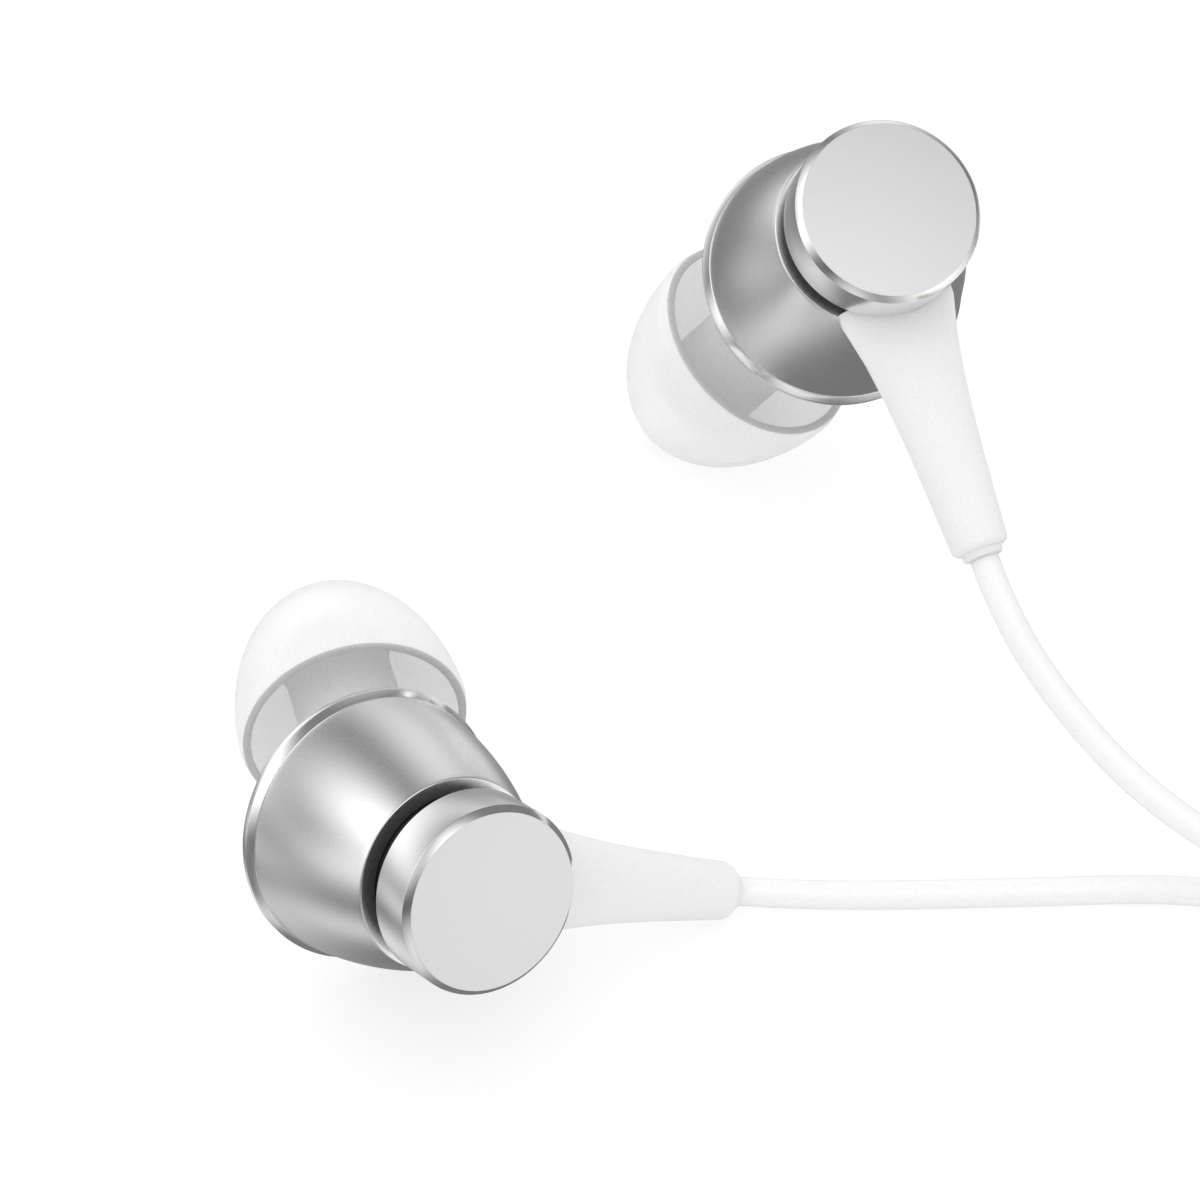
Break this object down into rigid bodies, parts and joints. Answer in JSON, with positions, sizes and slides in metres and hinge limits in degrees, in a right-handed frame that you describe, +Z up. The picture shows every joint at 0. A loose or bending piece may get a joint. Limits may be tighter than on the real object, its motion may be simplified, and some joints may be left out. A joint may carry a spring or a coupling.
{
  "type": "wired in-ear earphones",
  "caption": "Wired in-ear earphones with angled metal earpieces, soft silicone tips, a Y-junction with a button and microphone, and a jack plug.",
  "frame": {"origin": "on the table, under the middle of the two earpieces as they lie", "axes": "+Z up from the table, +X towards the coiled cord, +Y from the right earpiece towards the left one"},
  "size_m": [0.0836, 0.0749, 0.0263],
  "materials": {
    "cap_aluminium": "fine blasted face, satin side, polished edge",
    "bell_aluminium": "satin, turned",
    "polished_ring": "mirror polished",
    "dark_liner": "matt dark grey",
    "white_plastic": "smooth white",
    "white_elastomer": "matt white, soft",
    "tip_silicone": "translucent frosted white",
    "cord_jacket": "satin white",
    "steel_mesh": "fine woven mesh",
    "black_plastic": "matt black",
    "steel": "plain",
    "magnet_nickel": "nickel plated",
    "copper": "enamelled copper wire",
    "diaphragm_film": "thin clear film",
    "damper_paper": "acoustic paper",
    "board_green": "green circuit board",
    "gold": "gold plated",
    "tie_paper": "white paper band"
  },
  "bodies": {
    "headset": {"right_cap": "cap_aluminium", "right_groove_liner": "dark_liner", "right_bell": "bell_aluminium", "right_trim_ring": "polished_ring", "right_nozzle_cover": "white_plastic", "right_nozzle_screen": "steel_mesh", "right_cord_relief": "white_elastomer", "right_driver_frame": "black_plastic", "right_yoke": "steel", "right_magnet": "magnet_nickel", "right_pole_plate": "steel", "right_voice_coil": "copper", "right_diaphragm": "diaphragm_film", "right_rear_damper": "damper_paper", "right_terminal_board": "board_green", "left_cap": "cap_aluminium", "left_groove_liner": "dark_liner", "left_bell": "bell_aluminium", "left_trim_ring": "polished_ring", "left_nozzle_cover": "white_plastic", "left_nozzle_screen": "steel_mesh", "left_cord_relief": "white_elastomer", "left_driver_frame": "black_plastic", "left_yoke": "steel", "left_magnet": "magnet_nickel", "left_pole_plate": "steel", "left_voice_coil": "copper", "left_diaphragm": "diaphragm_film", "left_rear_damper": "damper_paper", "left_terminal_board": "board_green", "junction_top": "white_plastic", "junction_bottom": "white_plastic", "junction_board": "board_green", "button_switch": "steel", "microphone": "steel", "ear_cord_gland": "white_elastomer", "main_cord_gland": "white_elastomer", "plug_body": "bell_aluminium", "plug_relief": "white_elastomer", "plug_barrel": "gold", "plug_rear_band": "gold", "plug_front_band": "gold", "plug_tip": "gold", "plug_insulators": "black_plastic", "plug_core": "black_plastic", "right_cord": "cord_jacket", "left_cord": "cord_jacket", "right_cord_tail": "cord_jacket", "left_cord_tail": "cord_jacket", "main_cord": "cord_jacket", "main_cord_tail": "cord_jacket", "right_coil": "cord_jacket", "left_coil": "cord_jacket", "main_coil": "cord_jacket", "ear_coil_tie": "tie_paper", "main_coil_tie": "tie_paper"},
    "right_tip": {"right_ear_tip": "tip_silicone"},
    "left_tip": {"left_ear_tip": "tip_silicone"},
    "button": {"junction_button": "white_plastic"}
  },
  "joints": [
    {"name": "right_tip_pull_off", "type": "slide", "parent": "headset", "child": "right_tip", "axis": [-0.2505, 0.9458, -0.2067], "range_m": [0, 0.006]},
    {"name": "left_tip_pull_off", "type": "slide", "parent": "headset", "child": "left_tip", "axis": [-0.5242, 0.059, -0.8495], "range_m": [0, 0.006]},
    {"name": "button_press", "type": "slide", "parent": "headset", "child": "button", "axis": [0, 0, -1], "range_m": [0, 0.0003], "stiffness_N_per_m": 3000, "springref_m": -0.00005}
  ]
}
